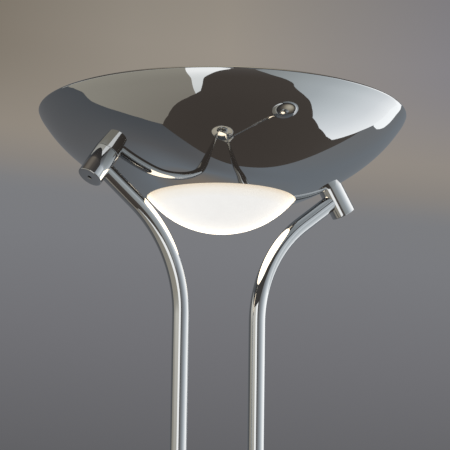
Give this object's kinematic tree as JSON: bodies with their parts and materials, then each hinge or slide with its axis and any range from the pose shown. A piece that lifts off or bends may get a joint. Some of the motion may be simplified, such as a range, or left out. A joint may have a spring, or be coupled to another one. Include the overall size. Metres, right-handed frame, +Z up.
{
  "type": "floor lamp",
  "caption": "Torchiere floor lamp: mirror bowl on twin bent tubes, opal glass below the bowl, reading arm and dimmers on a bridge, round weighted base.",
  "frame": {"origin": "centre of the underside of the base pad, on the floor", "axes": "+Z up along the poles, +X from the left pole to the right pole, -Y towards the front with the dimmers"},
  "size_m": [0.362, 0.5392, 1.8],
  "materials": {
    "bowl_chrome": "bright chrome plate on spun steel, mirror",
    "tube_chrome": "bright chrome plate on drawn tube",
    "boss_chrome": "bright chrome plate, turned ends",
    "base_chrome": "bright chrome plate, mirror",
    "housing_chrome": "bright chrome plate on die casting",
    "knob_chrome": "bright chrome plate, fluted",
    "arm_chrome": "bright chrome plate",
    "flex_chrome": "bright chrome plate, ribbed",
    "shade_chrome": "bright chrome plate, mirror",
    "opal": "opal white glass, acid-etched, lit from inside",
    "frosted": "frosted glass",
    "lamp_glass": "clear quartz glass",
    "zinc": "zinc plated steel",
    "dark_screw": "black oxide steel",
    "ceramic": "white glazed ceramic",
    "black_plastic": "black nylon",
    "white_plastic": "white polyamide",
    "iron": "grey cast iron, painted black",
    "felt": "black felt pad",
    "brass": "turned brass"
  },
  "bodies": {
    "stand": {"arm_post": "arm_chrome", "arm_post_nut": "zinc", "base_cover": "base_chrome", "base_pad": "felt", "base_weight": "iron", "boss_grub_screws": "dark_screw", "boss_left": "boss_chrome", "boss_right": "boss_chrome", "bowl_nipples": "brass", "bowl_nuts": "zinc", "bowl_shell": "bowl_chrome", "bracket_screws": "zinc", "bracket_spacers": "zinc", "bridge_housing": "housing_chrome", "bridge_nipples": "zinc", "bridge_plate": "black_plastic", "bridge_screws": "dark_screw", "dimmer_nuts": "zinc", "dimmer_reading": "black_plastic", "dimmer_uplight": "black_plastic", "foot_collars": "base_chrome", "foot_nipples": "zinc", "foot_nuts": "zinc", "glass_clip_screws": "zinc", "glass_clips": "zinc", "inlet_bush": "black_plastic", "lamp_bracket": "zinc", "lampholder_back": "ceramic", "lampholder_front": "ceramic", "linear_lamp": "lamp_glass", "lower_lead": "white_plastic", "lower_pole_left": "tube_chrome", "lower_pole_right": "tube_chrome", "opal_glass": "opal", "pole_inserts": "zinc", "terminal_block": "white_plastic", "upper_lead": "white_plastic", "upper_pole_left": "tube_chrome", "upper_pole_right": "tube_chrome"},
    "knob_uplight": {"knob_uplight": "knob_chrome", "spindle_uplight": "brass"},
    "knob_reading": {"knob_reading": "knob_chrome", "spindle_reading": "brass"},
    "arm": {"arm_knuckle": "arm_chrome", "arm_circlip": "dark_screw", "arm_rod": "arm_chrome", "arm_ferrule": "arm_chrome"},
    "flex_1": {"flex_segment_1": "flex_chrome"},
    "flex_2": {"flex_segment_2": "flex_chrome"},
    "flex_3": {"flex_segment_3": "flex_chrome"},
    "flex_4": {"flex_segment_4": "flex_chrome"},
    "head_yoke": {"head_yoke": "arm_chrome", "head_pin": "arm_chrome"},
    "reading_head": {"reading_shade": "shade_chrome", "shade_tongue": "arm_chrome", "tongue_nut": "zinc", "reading_lampholder": "ceramic", "reading_lamp": "lamp_glass", "reading_glass": "frosted", "reading_glass_ring": "zinc"}
  },
  "joints": [
    {"name": "uplight_dimmer", "type": "hinge", "parent": "stand", "child": "knob_uplight", "pos_m": [-0.02, -0.064, 0.87], "axis": [0, -1, 0], "range_deg": [-140, 140]},
    {"name": "reading_dimmer", "type": "hinge", "parent": "stand", "child": "knob_reading", "pos_m": [0.02, -0.064, 0.87], "axis": [0, -1, 0], "range_deg": [-140, 140]},
    {"name": "arm_swivel", "type": "hinge", "parent": "stand", "child": "arm", "pos_m": [0.036, -0.04, 0.905], "axis": [0, 0, 1], "range_deg": [-70, 120]},
    {"name": "flex_bend_1", "type": "hinge", "parent": "arm", "child": "flex_1", "pos_m": [0.06599, -0.19472, 1.17129], "axis": [0.9817, 0.1903, 0], "range_deg": [-14, 14]},
    {"name": "flex_bend_2", "type": "hinge", "parent": "flex_1", "child": "flex_2", "pos_m": [0.06884, -0.2094, 1.20194], "axis": [0.9817, 0.1903, 0], "range_deg": [-14, 14]},
    {"name": "flex_bend_3", "type": "hinge", "parent": "flex_2", "child": "flex_3", "pos_m": [0.07122, -0.22167, 1.23367], "axis": [0.9817, 0.1903, 0], "range_deg": [-14, 14]},
    {"name": "flex_bend_4", "type": "hinge", "parent": "flex_3", "child": "flex_4", "pos_m": [0.07313, -0.23156, 1.26624], "axis": [0.9817, 0.1903, 0], "range_deg": [-14, 14]},
    {"name": "head_swivel", "type": "hinge", "parent": "flex_4", "child": "head_yoke", "pos_m": [0.07463, -0.23927, 1.29943], "axis": [0, 0, 1], "range_deg": [-80, 80]},
    {"name": "head_tilt", "type": "hinge", "parent": "head_yoke", "child": "reading_head", "pos_m": [0.07463, -0.23927, 1.31643], "axis": [0.7848, 0.6198, 0], "range_deg": [-10, 55]}
  ]
}
